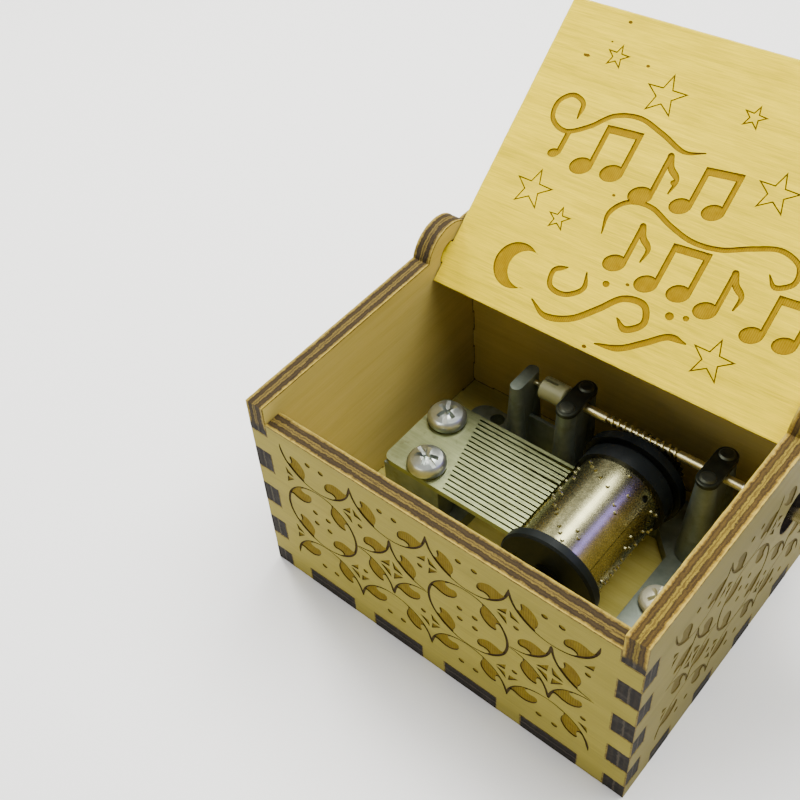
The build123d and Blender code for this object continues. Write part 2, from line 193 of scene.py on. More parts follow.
def ply_edge(name, seed=0.0, gold=False):
    """Charred laser-cut edge: thin golden lip at both faces, dark bands, a lighter ragged middle ply."""
    m = NB(name)
    a = m.n("ShaderNodeAttribute", attribute_name="puv")
    sx = m.n("ShaderNodeSeparateXYZ")
    m.l(a.outputs["Vector"], sx.inputs[0])
    ch = m.n("ShaderNodeAttribute", attribute_name="edge_dark")
    rag = m.noise(m.coords("puv", (1.0, 1.0, 0.45), (seed, 0, 0)), 1.5, 6, 0.72)
    rag2 = m.noise(m.coords("puv", (0.3, 0.3, 2.6), (seed, 5, 0)), 1.4, 5, 0.65, 0.4)
    t = m.math("DIVIDE", sx.outputs[2], T)
    t = m.math("ADD", t, m.math("MULTIPLY", m.math("SUBTRACT", rag, 0.5), 0.24))
    t = m.math("ADD", t, m.math("MULTIPLY", m.math("SUBTRACT", rag2, 0.5), 0.22))
    lip, lip2 = (0.330, 0.240, 0.036), (0.150, 0.100, 0.015)
    dk, mid, dk2 = (0.019, 0.0120, 0.005), (0.160, 0.110, 0.018), (0.040, 0.0260, 0.008)
    if gold:
        lip, lip2 = (0.400, 0.290, 0.045), (0.215, 0.132, 0.014)
        dk, mid, dk2 = (0.030, 0.017, 0.0040), (0.225, 0.160, 0.018), (0.080, 0.048, 0.007)
    warm = m.ramp(t, [(0.05, lip), (0.12, lip2), (0.19, dk), (0.28, dk2), (0.36, dk), (0.42, mid),
                      (0.49, dk2), (0.55, mid), (0.62, dk), (0.72, dk2), (0.81, dk), (0.88, lip2), (0.95, lip)])
    b0, b1, b2 = (0.0085, 0.0066, 0.0050), (0.019, 0.0140, 0.0092), (0.066, 0.052, 0.034)
    cold = m.ramp(t, [(0.0, b1), (0.08, b0), (0.22, b1), (0.30, b0), (0.42, b0), (0.5, b2), (0.56, b0),
                      (0.70, b0), (0.78, b1), (0.90, b0), (1.0, b1)])
    # a per-edge weight turns the golden tones into near-black ones: 1 on the finger ends, 0.7 round the hinge holes, 0
    # on the top edges
    col = m.mix(ch.outputs["Fac"], warm, cold)
    streak = m.noise(m.coords("puv", (0.5, 0.5, 7.0), (seed, 2, 0)), 1.0, 4, 0.7)
    col = m.mix(m.math("MULTIPLY", m.ramp(streak, [(0.45, (0, 0, 0)), (0.7, (1, 1, 1))]), 0.45), col,
                (0.012, 0.008, 0.005))
    # flecks of bare wood along the cut, and a pale grey haze on the darkest ends
    fleck = m.ramp(m.noise(m.coords("puv", (0.6, 0.6, 1.6), (seed, 9, 0)), 2.6, 5, 0.75),
                   [(0.60, (0, 0, 0)), (0.70, (1, 1, 1))])
    wfac = m.math("MULTIPLY", fleck, m.math("SUBTRACT", 0.75, m.math("MULTIPLY", ch.outputs["Fac"], 0.62)))
    col = m.mix(wfac, col, (0.115, 0.072, 0.017))
    haze = m.ramp(m.noise(m.coords("puv", (1, 1, 0.6), (seed, 3, 0)), 0.8, 4, 0.7), [(0.5, (0, 0, 0)), (0.72, (1, 1, 1))])
    col = m.mix(m.math("MULTIPLY", haze, m.math("MULTIPLY", ch.outputs["Fac"], 0.34)), col, (0.070, 0.060, 0.048))
    m.set(color=col, rough=0.78, spec=0.18)
    h = m.math("ADD", m.math("MULTIPLY", streak, 0.6), m.math("MULTIPLY", rag, 0.6))
    m.bump(h, 0.6, 0.00012)
    return m.m


def ply_rim(name, seed, burnt, brown, tone, lo_=0.36, hi_=0.58):
    """The scorched fringe where a face meets a cut edge."""
    m = NB(name)
    v = m.noise(m.coords("puv", (1, 1, 1), (seed, 0, 0)), 2.2, 5, 0.7)
    col = m.ramp(v, [(lo_, burnt), ((lo_ + hi_) / 2, brown), (hi_, tone)])
    m.set(color=col, rough=0.6, spec=0.15)
    m.bump(v, 0.3, 0.00008)
    return m.m


def engrave_floor(name, seed, c0, c1, hatch=0.36, spec=0.12):
    """Raster-engraved floor: tan, with the laser's fine vertical lines."""
    m = NB(name)
    a = m.n("ShaderNodeAttribute", attribute_name="puv")
    sx = m.n("ShaderNodeSeparateXYZ")
    m.l(a.outputs["Vector"], sx.inputs[0])
    nz = m.noise(m.coords("puv", (1, 1, 1), (seed, 0, 0)), 0.9, 3, 0.6)
    ph = m.math("ADD", m.math("MULTIPLY", sx.outputs[0], 2 * math.pi / hatch), m.math("MULTIPLY", nz, 0.8))
    w = m.math("ADD", m.math("MULTIPLY", m.math("SINE", ph), 0.5), 0.5)
    patch = m.noise(m.coords("puv", (1, 1, 1), (seed, 7, 0)), 0.12, 2, 0.5)
    amt = m.ramp(patch, [(0.35, (0.25,) * 3), (0.65, (0.9,) * 3)])
    base = m.ramp(m.math("ADD", m.math("MULTIPLY", nz, 0.6), m.math("MULTIPLY", patch, 0.4)),
                  [(0.35, c0), (0.65, c1)])
    col = m.mix(m.math("MULTIPLY", m.math("MULTIPLY", w, amt), 0.5), base, tuple(c * 0.42 for c in c0))
    m.set(color=col, rough=0.75, spec=spec)
    m.bump(w, 0.5, 0.00006)
    return m.m


# dark border and wall colour of the engravings: partly laser burn, partly painted shade along the pocket edges
def engrave_dark_and_shade(name, c):
    m = NB(name)
    v = m.noise(m.coords("puv", (1, 1, 1)), 1.4, 4, 0.6)
    m.set(color=m.ramp(v, [(0.35, tuple(x * 0.6 for x in c)), (0.65, c)]), rough=0.8, spec=0.1)
    m.bump(v, 0.2, 0.00005)
    return m.m


# ------------------------------------------------------------------ 2-D shape helpers (mm)
def subdivide(loop, step):
    out = []
    k = len(loop)
    for i in range(k):
        a, b = Vector(loop[i]), Vector(loop[(i + 1) % k])
        n = max(1, int(round((b - a).length / step)))
        for j in range(n):
            p = a + (b - a) * (j / n)
            out.append((p.x, p.y))
    return out


def normals(loop):
    """Left-hand normals with a limited miter: inward for a CCW outline, into the material for a CW hole."""
    k = len(loop)
    out = []
    for i in range(k):
        a, b, c = Vector(loop[i - 1]), Vector(loop[i]), Vector(loop[(i + 1) % k])
        d1, d2 = (b - a).normalized(), (c - b).normalized()
        n1, n2 = Vector((-d1.y, d1.x)), Vector((-d2.y, d2.x))
        m = n1 + n2
        if m.length < 1e-6:
            m = n1.copy()
        m.normalize()
        out.append(m / max(0.6, m.dot(n1)))
    return out


def circle(cx, cy, r, n=40, cw=False, ph=0.0):
    s = -1 if cw else 1
    return [(cx + r * math.cos(ph + s * 2 * math.pi * i / n), cy + r * math.sin(ph + s * 2 * math.pi * i / n))
            for i in range(n)]


def catmull(pts, k=6, closed=False):
    out = []
    n = len(pts)
    rng = range(n) if closed else range(n - 1)
    for i in rng:
        if closed:
            p0, p1, p2, p3 = (Vector(pts[(i + j) % n]) for j in (-1, 0, 1, 2))
        else:
            p1, p2 = Vector(pts[i]), Vector(pts[i + 1])
            p0 = Vector(pts[i - 1]) if i > 0 else 2 * p1 - p2
            p3 = Vector(pts[i + 2]) if i + 2 < n else 2 * p2 - p1
        for j in range(k):
            t = j / k
            q = 0.5 * ((2 * p1) + (p2 - p0) * t + (2 * p0 - 5 * p1 + 4 * p2 - p3) * t * t
                       + (3 * p1 - p0 - 3 * p2 + p3) * t ** 3)
            out.append((q.x, q.y))
    if not closed:
        out.append(tuple(pts[-1]))
    return out


def stroke(line, wf):
    """Closed polygon round a polyline; wf(s) is the half width at 0..1 along it."""
    n = len(line)
    L, R = [], []
    for i, p in enumerate(line):
        a = Vector(line[max(0, i - 1)])
        b = Vector(line[min(n - 1, i + 1)])
        d = (b - a).normalized()
        nn = Vector((-d.y, d.x))
        h = wf(i / (n - 1))
        p = Vector(p)
        L.append((p.x + nn.x * h, p.y + nn.y * h))
        R.append((p.x - nn.x * h, p.y - nn.y * h))
    return L + R[::-1]


def item(outer, inner=(), depth=0.14, band=0.075, dark=False):
    """An engraved shape; band is the width of its dark sloping border, partly laser burn and partly painted shade at
    the pocket's edge; dark gives the whole cut that dark colour.
    """
    inner = list(inner)
    return {"outer": outer, "inner": inner, "depth": depth, "dark": dark, "band": 0 if inner or dark else band}


def inset_loop(loop, d):
    area2 = sum(loop[i - 1][0] * loop[i][1] - loop[i][0] * loop[i - 1][1] for i in range(len(loop)))
    sg = 1 if area2 > 0 else -1
    nn = normals(loop)
    out = []
    for p, m in zip(loop, nn):
        for k in (1.0, 0.6, 0.3, 0.12):
            q = (p[0] + sg * m.x * d * k, p[1] + sg * m.y * d * k)
            far = (p[0] + sg * m.x * d * k * 1.5, p[1] + sg * m.y * d * k * 1.5)
            if inside_loop(np.array([q, far]), loop).all():
                break
        out.append(q)
    return out


def xf(pts, a=0.0, s=1.0, o=(0, 0), flip=False):
    c, n = math.cos(a), math.sin(a)
    out = []
    for x, y in pts:
        if flip:
            x = -x
        out.append((o[0] + s * (x * c - y * n), o[1] + s * (x * n + y * c)))
    return out


def inside_loop(C, loop):
    """Which of the points C (n, 2) lie inside a closed loop, by crossing count."""
    L = np.array(loop, dtype=float)
    lo2, hi2 = L.min(axis=0), L.max(axis=0)
    out = np.zeros(len(C), dtype=bool)
    k = np.where((C[:, 0] > lo2[0]) & (C[:, 0] < hi2[0]) & (C[:, 1] > lo2[1]) & (C[:, 1] < hi2[1]))[0]
    if not len(k):
        return out
    x, y = C[k, 0], C[k, 1]
    r = np.zeros(len(k), dtype=bool)
    x1, y1 = L[-1]
    for x2, y2 in L:
        if y1 != y2:
            hit = ((y1 > y) != (y2 > y)) & (x < (x2 - x1) * (y - y1) / (y2 - y1) + x1)
            r ^= hit
        x1, y1 = x2, y2
    out[k] = r
    return out


# ------------------------------------------------------------------ panel builder
def panel(name, outline, holes, front, back, fn, mats, body, node, edge_dark, step=0.9, th=T, rough=0.06):
    """A plywood part: outline CCW and holes CW in its own plane, engraved items on either face, cut edges
    with worn lips and slight unevenness.  fn maps (u, v, w) in mm to the row frame."""
    loops = [subdivide(outline, step)] + [h for h in holes]
    nb = sum(len(l) for l in loops)
    bpts = [p for l in loops for p in l]
    seed = sum(ord(c) for c in name) * 0.37
    ins = []
    for l in loops:
        nn = normals(l)
        q = []
        for p, m in zip(l, nn):
            d = 0.13 + 0.16 * (0.5 + 0.5 * noise.noise(Vector((p[0] * 0.9 + seed, p[1] * 0.9, 1.0)))) \
                + 0.05 * noise.noise(Vector((p[0] * 3 + seed, p[1] * 3, 2.0)))
            q.append((p[0] + m.x * d, p[1] + m.y * d))
        ins.append(q)
    bm = bmesh.new()
    puv = bm.verts.layers.float_vector.new("puv")
    chl = bm.verts.layers.float.new("edge_dark")

    def vert(u, v, w, c=0.0):
        x = bm.verts.new(fn(u, v, w))
        x[puv] = Vector((u, v, w))
        x[chl] = c
        return x

    def face(side, items):
        """side 0: the face at w=0; side 1: the face at w=th."""
        co, faces = [], []

        def add(loop):
            b = len(co)
            co.extend(Vector(p) for p in loop)
            faces.append(list(range(b, b + len(loop))))
            return len(faces) - 1
        for l in loops + ins:
            add(l)
        insv = set()
        for it in items:
            add(it["outer"])
            for h in it["inner"]:
                add(h)
            if it["band"]:
                q = inset_loop(it["outer"], it["band"])
                insv.update(range(len(co), len(co) + len(q)))
                it["inset"] = q
                add(q)
        vs, es, fs, ov, oe, of = delaunay_2d_cdt(co, [], faces, 0, 1e-5, True)
        bid = {}
        low = set()
        for i, o in enumerate(ov):
            k = [x for x in o if x < nb]
            if k:
                bid[i] = k[0]
            if any(x in insv for x in o):
                low.add(i)
        sgn = (lambda d: d) if side == 0 else (lambda d: th - d)
        top, deep = {}, {}
        border = {}

        def tv(i):
            if i not in top:
                d = 0.0
                if i in bid:
                    p = bpts[bid[i]]
                    d = 0.05 + 0.05 * noise.noise(Vector((p[0] * 1.7 + seed, p[1] * 1.7, 4 + side)))
                top[i] = vert(vs[i].x, vs[i].y, sgn(max(0.01, d)) if i in bid else sgn(0.0))
                if i in bid:
                    border[bid[i]] = top[i]
            return top[i]

        def dv(i, d):
            if i not in deep:
                deep[i] = vert(vs[i].x, vs[i].y, sgn(d))
            return deep[i]
        edge_of = {}
        V = np.array([(p.x, p.y) for p in vs])
        F = np.array([f for f in fs if len(f) == 3])
        C = V[F].mean(axis=1)
        inside = inside_loop(C, loops[0])
        for h in loops[1:]:
            inside &= ~inside_loop(C, h)
        core = inside_loop(C, ins[0])
        for h in ins[1:]:
            core &= ~inside_loop(C, h)
        cut = np.zeros(len(C))
        kind = np.zeros(len(C), dtype=int)
        for it in items:
            k = inside_loop(C, it["outer"])
            for h in it["inner"]:
                k &= ~inside_loop(C, h)
            cut[k] = it["depth"]
            kind[k] = 4 if it["dark"] else 2
            if it["band"]:
                kind[k] = 9
        lowm = np.zeros(len(V), dtype=bool)
        for it in items:
            if it["band"]:
                kind[inside_loop(C, it["inset"])] = 2
                lowm |= inside_loop(V, it["inset"])
        for n, f in enumerate(F.tolist()):
            if not inside[n]:
                continue
            dp = float(cut[n])
            rim = not core[n]
            if kind[n] == 9:
                vv = [dv(i, dp) if i in low or lowm[i] else tv(i) for i in f]
            else:
                vv = [dv(i, dp) if dp else tv(i) for i in f]
            if len(set(vv)) < 3:
                continue
            try:
                nf = bm.faces.new(vv)
            except ValueError:
                continue
            nf.material_index = (4 if kind[n] == 9 else int(kind[n])) if dp else (3 if rim else side * 5)
            for i in range(3):
                j = (i + 1) % 3
                a, b = f[i], f[j]
                pair = (vv[i], vv[j]) if a < b else (vv[j], vv[i])
                edge_of.setdefault((min(a, b), max(a, b)), []).append(pair)
        for st in edge_of.values():
            if len(st) == 2 and st[0] != st[1]:
                q = []
                for x in (st[0][0], st[0][1], st[1][1], st[1][0]):
                    if x not in q:
                        q.append(x)
                if len(q) < 3:
                    continue
                try:
                    nf = bm.faces.new(q)
                    nf.material_index = 4
                except ValueError:
                    pass
        return border

    bf = face(0, front)
    bb = face(1, back)
    base = 0
    ws = [0.35, 0.9, 1.35, 1.9, 2.4, 2.85]
    for l in loops:
        nn = normals(l)
        k = len(l)
        cols = []
        for i in range(k):
            g = base + i
            u, v = l[i]
            c = edge_dark(u, v)
            col = [bf[g]]
            bf[g][chl] = c
            for r, w in enumerate(ws):
                d = rough * (0.5 + 0.5 * noise.noise(Vector((u * 1.3 + seed, v * 1.3, w * 2.1))))
                d += 0.03 * (0.5 + 0.5 * noise.noise(Vector((u * 0.6 + seed, v * 0.6, w * 6.0))))
                col.append(vert(u + nn[i].x * d, v + nn[i].y * d, w, c))
            col.append(bb[g])
            bb[g][chl] = c
            cols.append(col)
        for i in range(k):
            a, b = cols[i], cols[(i + 1) % k]
            for r in range(len(a) - 1):
                f = bm.faces.new((a[r], b[r], b[r + 1], a[r + 1]))
                f.material_index = 1
        base += k
    bmesh.ops.recalc_face_normals(bm, faces=bm.faces)
    me = bpy.data.meshes.new(name)
    bm.to_mesh(me)
    bm.free()
    for m in mats:
        me.materials.append(m)
    o = bpy.data.objects.new(name, me)
    COL.objects.link(o)
    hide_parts(node)
    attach(o, body)
    return o


# ------------------------------------------------------------------ traditional circle-lattice scrollwork
LEAF_IN = [(3.05, -5.62), (3.55, -5.15), (3.3, -4.75), (2.7, -4.62), (2.05, -4.78), (1.62, -4.45),
           (1.72, -3.55), (2.4, -2.68), (3.5, -2.12), (4.6, -2.2), (5.4, -2.5), (6.05, -2.45)]
R0 = 6.55


def leaf():
    inner = catmull(LEAF_IN, 4)
    arc = [(R0 * math.cos(math.radians(a)), R0 * math.sin(math.radians(a))) for a in
           [-22 - 39.5 * i / 12 for i in range(13)]]
    return inner + arc


LEAF = leaf()


def arc_item(c, a0, a1, depth=0.12):
    n = max(6, int(abs(a1 - a0) / 5))
    line = [(c[0] + R0 * math.cos(math.radians(a0 + (a1 - a0) * i / n)),
             c[1] + R0 * math.sin(math.radians(a0 + (a1 - a0) * i / n))) for i in range(n + 1)]
    full = abs(a1 - a0) > 350

    def wf(s):
        a = math.radians(a0 + (a1 - a0) * s)
        h = 0.075 + 0.15 * abs(math.cos(a)) ** 1.4
        if not full:
            h *= min(1.0, 0.25 + min(s, 1 - s) / 0.07)
        return h
    if full:
        L = [(c[0] + (R0 + wf(i / n)) * math.cos(math.radians(a0 + (a1 - a0) * i / n)),
              c[1] + (R0 + wf(i / n)) * math.sin(math.radians(a0 + (a1 - a0) * i / n))) for i in range(n)]
        M = [(c[0] + (R0 - wf(i / n)) * math.cos(math.radians(a0 + (a1 - a0) * i / n)),
              c[1] + (R0 - wf(i / n)) * math.sin(math.radians(a0 + (a1 - a0) * i / n))) for i in range(n)]
        return item(L, [M], depth, dark=True)
    return item(stroke(line, wf), depth=depth, dark=True)


def leaf_at(c, q, jitter=0.0):
    """q-th quarter: 0 lower right, 1 upper right, 2 upper left, 3 lower left."""
    return item(xf(LEAF, q * math.pi / 2 + jitter, 1.0, c), depth=0.15)


def dot(x, y, r=0.46):
    return item([(x + r * 1.08 * math.cos(t * math.pi / 6), y + r * 0.95 * math.sin(t * math.pi / 6))
                 for t in range(12)], depth=0.14)


def tri4(x, y, which="1111", s=1.0):
    """Four small triangles of a diamond: upper left, upper right, lower right, lower left."""
    out = []
    base = [(-0.22, 2.1), (-2.1, 0.22), (-0.42, 0.42)]
    for k, on in enumerate(which):
        if on == "1":
            out.append(item(xf(base, -k * math.pi / 2, s, (x, y)), depth=0.16))
    return out


def quarters(c, which, top):
    """Arc and leaves of a partial circle at c; which lists the quarters present."""
    out = []
    ang = {0: (-90, 0), 1: (0, 90), 2: (90, 180), 3: (180, 270)}
    runs = {(0, 3): (180, 360), (1, 2): (0, 180)}
    if tuple(sorted(which)) in runs:
        a0, a1 = runs[tuple(sorted(which))]
        out.append(arc_item(c, a0 + 3, a1 - 3))
    else:
        for q in which:
            a0, a1 = ang[q]
            out.append(arc_item(c, a0 + (3 if q in (0, 1) else 0), a1 - (3 if q in (2, 3) else 0)))
    for q in which:
        out.append(leaf_at(c, q))
    return out


def lattice(xs_full, xs_star, z0, x_lo, x_hi):
    """xs_full: columns whose middle cell is a full circle; xs_star: columns with a concave diamond."""
    out = []
    P2 = 13.2
    up, dn = z0 + 13.45, z0 - 13.3
    for x in sorted(xs_full + xs_star):
        out += quarters((x, up), (0, 3), True)
        out += quarters((x, dn), (1, 2), False)
        for s in (-1, 1):
            out.append(dot(x + s * 1.25, up - 1.3))
            out.append(dot(x + s * 1.25, dn + 1.0))
    for x in xs_full:
        out.append(arc_item((x, z0), 0, 360))
        for q in range(4):
            out.append(leaf_at((x, z0), q))
        for sx in (-1, 1):
            for sz in (-1, 1):
                out.append(dot(x + sx * 1.27, z0 + sz * 1.27))
    for x in xs_star:
        for sx, sz, q in ((-1, 1, 0), (1, 1, 3), (1, -1, 2), (-1, -1, 1)):
            c = (x + sx * 6.6, z0 + sz * 6.65)
            if x_lo - 3 < c[0] < x_hi + 3:
                out += quarters(c, (q,), True)
        out += tri4(x, z0 - 0.3)
    # small diamonds where the arcs meet, one triangle giving way to a dot
    cols = sorted(xs_full + xs_star)
    for i in range(len(cols) - 1):
        xm = (cols[i] + cols[i + 1]) / 2
        star_right = cols[i + 1] in xs_star
        if star_right:
            out += tri4(xm, z0 + 6.75, "1101", 0.86)
            out.append(dot(xm + 1.25, z0 + 5.45, 0.42))
            out += tri4(xm, z0 - 6.95, "1011", 0.86)
            out.append(dot(xm + 1.2, z0 - 5.6, 0.42))
        else:
            out += tri4(xm, z0 + 6.75, "1110", 0.86)
            out.append(dot(xm - 1.25, z0 + 5.45, 0.42))
            out += tri4(xm, z0 - 6.95, "0111", 0.86)
            out.append(dot(xm - 1.2, z0 - 5.6, 0.42))
    xl = cols[0] - 6.3
    xr = cols[-1] + 6.3
    out += tri4(xl, z0 + 6.75, "0110", 0.8) + tri4(xl, z0 - 6.95, "0110", 0.8)
    out += tri4(xr, z0 + 6.75, "1000", 0.8) + tri4(xr, z0 - 6.95, "0001", 0.8)
    out.append(dot(xr - 1.0, z0 + 5.45, 0.42))
    out.append(dot(xr - 1.0, z0 - 5.6, 0.42))
    return out


def keep(items, ok):
    return [i for i in items if all(ok(x, y) for x, y in i["outer"])]


# ------------------------------------------------------------------ engraved lid, inside and outside
def star(x, y, r, rot=0.0, w=0.15):
    def ring(rr):
        return [(x + rr * (1 if i % 2 == 0 else 0.40) * math.sin(rot + i * math.pi / 5),
                 y + rr * (1 if i % 2 == 0 else 0.40) * math.cos(rot + i * math.pi / 5)) for i in range(10)]
    return item(ring(r + w * 1.9), [ring(r - w * 1.9)], 0.12, dark=True)


def round_stroke(pts, hw, k=8, taper=(0.0, 0.0), depth=0.16):
    """A thick engraved line with rounded ends."""
    line = catmull(pts, k)
    n = len(line)

    def wf(s):
        h = hw
        if taper[0] and s < taper[0]:
            h *= 0.25 + 0.75 * s / taper[0]
        if taper[1] and 1 - s < taper[1]:
            h *= 0.25 + 0.75 * (1 - s) / taper[1]
        return h
    body = stroke(line, wf)
    L, R = body[:n], body[n:]
    a, b = Vector(line[-1]), Vector(line[-2])
    d = (a - b).normalized()
    he = wf(1.0)
    capE = [(a.x + he * (d.x * math.sin(t) - d.y * math.cos(t)) , a.y + he * (d.y * math.sin(t) + d.x * math.cos(t)))
            for t in [math.pi * i / 8 for i in range(1, 8)]]
    a, b = Vector(line[0]), Vector(line[1])
    d = (a - b).normalized()
    hs = wf(0.0)
    capS = [(a.x + hs * (d.x * math.sin(t) - d.y * math.cos(t)), a.y + hs * (d.y * math.sin(t) + d.x * math.cos(t)))
            for t in [math.pi * i / 8 for i in range(1, 8)]]
    return item(L + capE + R + capS, depth=depth, band=min(0.12, hw * 0.34))


def ellipse(x, y, a, b, rot, n=22):
    return [(x + a * math.cos(t) * math.cos(rot) - b * math.sin(t) * math.sin(rot),
             y + a * math.cos(t) * math.sin(rot) + b * math.sin(t) * math.cos(rot))
            for t in [2 * math.pi * i / n for i in range(n)]]


def note(x, y, kind="eighth", s=1.0):
    out = [item(ellipse(x, y, 1.72 * s, 1.24 * s, 0.42), depth=0.16, band=0.12)]
    sx = x + 1.22 * s
    h = 6.2 * s
    out.append(round_stroke([(sx, y + 0.4), (sx + 0.05, y + h * 0.5), (sx + 0.1, y + h)], 0.42, 4))
    if kind == "eighth":
        out.append(round_stroke([(sx + 0.1, y + h), (sx + 0.9 * s, y + h - 1.5 * s), (sx + 2.3 * s, y + h - 2.7 * s),
                                 (sx + 2.1 * s, y + h - 4.7 * s)], 0.50, 7, (0.0, 0.5)))
    return out


def beamed(x, y, dx=4.6, rise=0.9, s=1.0):
    out = note(x, y, "plain", s) + note(x + dx, y + rise, "plain", s)
    h = 6.2 * s
    a = (x + 1.32 * s, y + h)
    b = (x + dx + 1.32 * s, y + rise + h)
    out.append(item(subdivide([(a[0] - 0.42, a[1] - 0.75), (b[0] + 0.42, b[1] - 0.75), (b[0] + 0.42, b[1] + 0.45),
                               (a[0] - 0.42, a[1] + 0.45)], 0.6), depth=0.16, band=0.12))
    return out


def lid_inside():
    it = []
    for x, y, r, a in ((14.3, 36.3, 1.75, 0.05), (23.8, 33.0, 3.15, -0.02), (37.0, 33.9, 1.65, 0.08),
                       (44.6, 25.2, 2.95, 0.0), (11.6, 13.9, 3.1, 0.02), (17.7, 11.2, 1.75, -0.05),
                       (47.3, 1.4, 3.05, 0.02), (51.5, 35.2, 3.0, -0.05), (55.6, 29.0, 1.7, 0.06)):
        it.append(star(x, y, r, a))
    # three rows of scrolls and notes, drawn with one broad line
    it.append(round_stroke([(13.0, 25.9), (12.8, 28.3), (10.6, 29.0), (8.9, 27.3), (9.4, 24.7), (12.2, 23.6),
                            (15.4, 25.4), (18.2, 28.0), (22.0, 28.9), (26.2, 27.8), (30.2, 26.4), (33.2, 27.2)],
                           0.38, 7, (0.05, 0.12)))
    it += beamed(17.0, 19.6, 4.9, 0.5, 1.05)
    it += note(12.0, 20.0, "plain", 0.55)
    it += note(27.4, 18.6, "eighth", 1.08)
    it += beamed(33.4, 19.2, 4.6, 0.7, 0.95)
    it.append(round_stroke([(24.8, 11.6), (24.4, 14.8), (26.4, 17.2), (29.8, 17.6), (33.4, 16.2), (37.4, 15.2),
                            (41.4, 15.6), (45.0, 17.2), (48.6, 18.4), (51.6, 17.4), (52.2, 15.0), (50.2, 13.6),
                            (48.8, 14.9)], 0.38, 7, (0.08, 0.08)))
    it += note(28.6, 8.4, "eighth", 1.02)
    it += beamed(34.2, 7.4, 4.8, 0.5, 1.02)
    it += note(43.4, 7.2, "eighth", 1.0)
    it += beamed(50.4, 6.6, 4.4, 0.4, 0.95)
    # crescent and a long flourish
    out = [(14.9 + 3.6 * math.cos(math.radians(a)), 2.4 + 3.6 * math.sin(math.radians(a))) for a in range(50, 311, 10)]
    inn = [(16.7 + 2.9 * math.cos(math.radians(a)), 2.4 + 2.9 * math.sin(math.radians(a))) for a in range(292, 67, -9)]
    it.append(item(out + inn, depth=0.16, band=0.12))
    it.append(round_stroke([(22.6, 5.2), (20.8, 4.0), (21.4, 1.7), (24.0, 1.4), (26.2, 3.2), (25.6, 5.6)],
                           0.40, 7, (0.08, 0.15)))
    it.append(round_stroke([(19.8, -1.2), (22.8, -2.6), (26.6, -1.4), (29.6, 1.4), (32.2, 4.2), (35.4, 4.6),
                            (36.6, 2.2), (34.6, 0.4), (32.8, 1.4)], 0.50, 7, (0.15, 0.1)))
    it.append(round_stroke([(31.6, -3.2), (35.0, -2.4), (38.0, -0.2), (40.6, 1.9), (43.2, 2.0)], 0.48, 7, (0.2, 0.15)))
    for x, y, r in ((39.4, 4.6, 0.6), (29.0, 5.2, 0.5), (41.6, 5.2, 0.42), (31.0, 21.9, 0.45)):
        it.append(dot(x, y, r))
    # small pin knots in the veneer
    for x, y, r in ((13.69, 41.62, 0.24), (19.38, 36.3, 0.22), (23.81, 17.3, 0.2), (31.9, 6.3, 0.22), (30.38, -4.2, 0.26),
                    (12.45, 38.18, 0.14), (47.2, 40.2, 0.2), (56.4, 13.6, 0.22)):
        it.append(item([(x + r * 1.4 * math.cos(t), y + r * math.sin(t)) for t in [k * math.pi / 5 for k in range(10)]],
                       depth=0.04, dark=True))
    it.append(item([(9.2, 35.0), (9.9, 34.95), (10.3, 35.2), (9.9, 35.45), (9.1, 35.35)], depth=0.03, dark=True))
    return it


